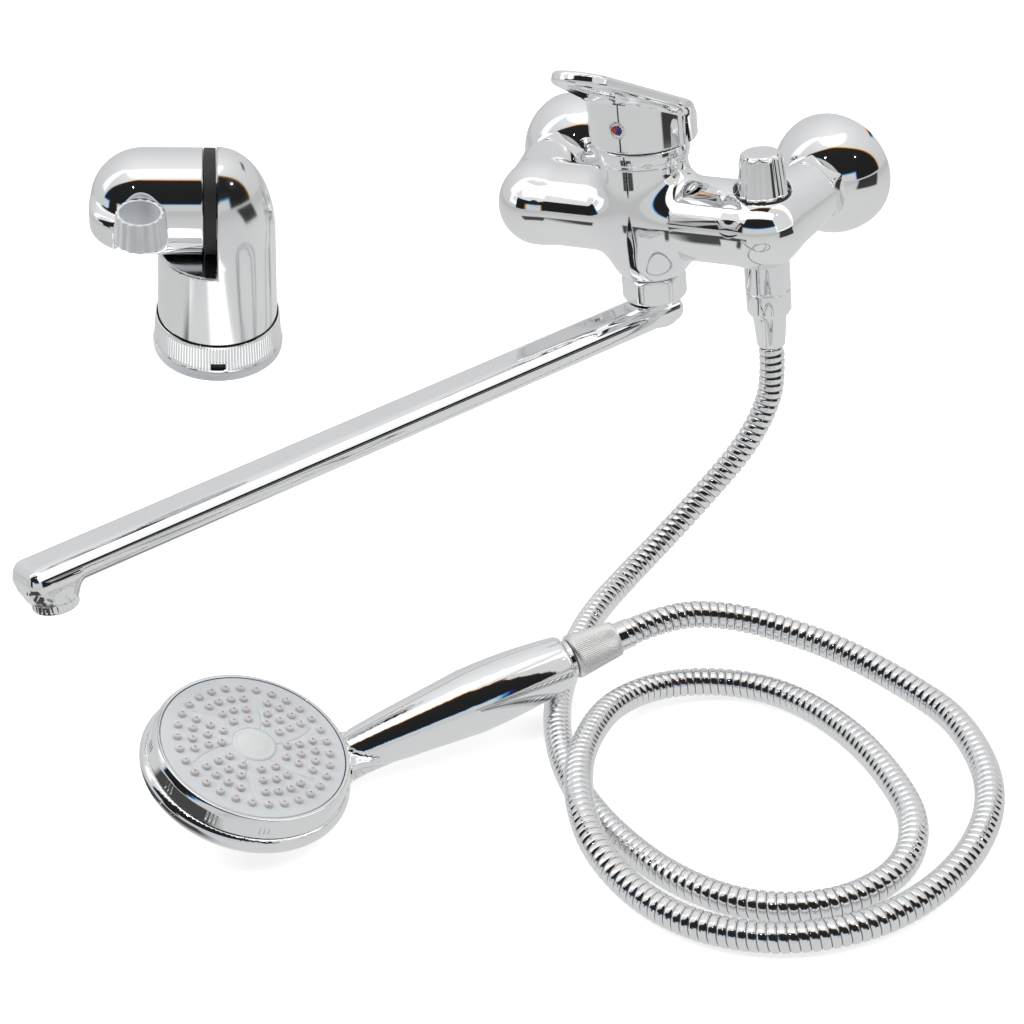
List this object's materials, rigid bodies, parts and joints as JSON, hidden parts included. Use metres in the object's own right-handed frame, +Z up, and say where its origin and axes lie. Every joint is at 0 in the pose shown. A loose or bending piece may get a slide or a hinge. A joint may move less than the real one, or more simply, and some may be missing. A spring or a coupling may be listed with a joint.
{
  "type": "bath and shower mixer tap",
  "caption": "Wall mixer tap with a single lever, long swivel spout, diverter, metal shower hose, round handset and a tilting wall bracket.",
  "frame": {"origin": "half way between the two wall inlets, on the wall face", "axes": "+X to the right along the inlets, +Y into the wall, +Z up"},
  "size_m": [0.4187, 0.4629, 0.3019],
  "materials": {
    "chrome": "mirror chrome plate on brass",
    "plated_brass": "nickel plated brass",
    "washer_rubber": "matt",
    "cartridge_plastic": "matt",
    "steel": "machined",
    "index_plastic": "gloss",
    "hose_steel": "polished double-lock steel strip",
    "seal_rubber": "matt",
    "insert_plastic": "matt",
    "chrome_plastic": "chrome plate on moulded plastic",
    "face_plastic": "satin",
    "nozzle_silicone": "soft satin",
    "badge_plastic": "pearly gloss",
    "satin_metal": "satin knurled",
    "liner_plastic": "satin"
  },
  "bodies": {
    "mixer": {"mixer_body": "chrome", "left_union": "plated_brass", "right_union": "plated_brass", "left_inlet_washer": "washer_rubber", "right_inlet_washer": "washer_rubber", "left_union_nut": "chrome", "right_union_nut": "chrome", "left_rosette": "chrome", "right_rosette": "chrome", "cartridge_housing": "cartridge_plastic", "cartridge_nut": "plated_brass", "cover_ring": "chrome", "diverter_bonnet": "plated_brass", "shower_outlet": "chrome", "hose_washer": "washer_rubber", "hose_nut": "chrome", "hose_ferrule": "chrome", "shower_hose": "hose_steel", "spout_nut": "chrome", "handset_body": "chrome_plastic", "spray_face": "face_plastic", "nozzle_mat": "nozzle_silicone", "jet_plate": "insert_plastic", "centre_badge": "badge_plastic", "handset_end_ring": "chrome", "handset_nut": "satin_metal", "handset_ferrule": "chrome", "bracket_wall_plate": "insert_plastic", "bracket_wall_screws": "steel", "bracket_lock_ring": "satin_metal", "bracket_column": "chrome_plastic", "bracket_gasket": "seal_rubber", "bracket_pivot": "steel"},
    "lever_carrier": {"cartridge_carrier": "cartridge_plastic", "cartridge_pin": "steel"},
    "lever": {"cartridge_stem": "steel", "lever_handle": "chrome", "index_plug": "index_plastic", "lever_grub_screw": "steel"},
    "spout": {"spout_tube": "chrome", "spout_seals": "seal_rubber", "aerator_housing": "chrome", "aerator_insert": "insert_plastic"},
    "diverter": {"diverter_knob": "chrome", "diverter_spindle": "steel"},
    "spray_selector": {"spray_ring": "chrome_plastic"},
    "bracket_arm": {"bracket_head": "chrome_plastic", "bracket_liner": "liner_plastic"}
  },
  "joints": [
    {"name": "lever_turn", "type": "hinge", "parent": "mixer", "child": "lever_carrier", "pos_m": [0, -0.068, 0.032], "axis": [0, 0, 1], "range_deg": [-50, 50]},
    {"name": "lever_lift", "type": "hinge", "parent": "lever_carrier", "child": "lever", "pos_m": [0, -0.068, 0.032], "axis": [-1, 0, 0], "range_deg": [0, 15]},
    {"name": "spout_swivel", "type": "hinge", "parent": "mixer", "child": "spout", "pos_m": [0, -0.068, -0.05], "axis": [0, 0, 1], "range_deg": [-55, 80]},
    {"name": "diverter_turn", "type": "hinge", "parent": "mixer", "child": "diverter", "pos_m": [0.066, -0.068, 0.01], "axis": [0, 0, 1], "range_deg": [0, 90]},
    {"name": "spray_turn", "type": "hinge", "parent": "mixer", "child": "spray_selector", "pos_m": [-0.04556, -0.40065, -0.14236], "axis": [0.4444, 0.0315, 0.8953], "range_deg": [0, 120]},
    {"name": "bracket_tilt", "type": "hinge", "parent": "mixer", "child": "bracket_arm", "pos_m": [-0.07927, -0.32188, 0.08969], "axis": [0.806, 0.5749, -0.1409], "range_deg": [-30, 30]}
  ]
}
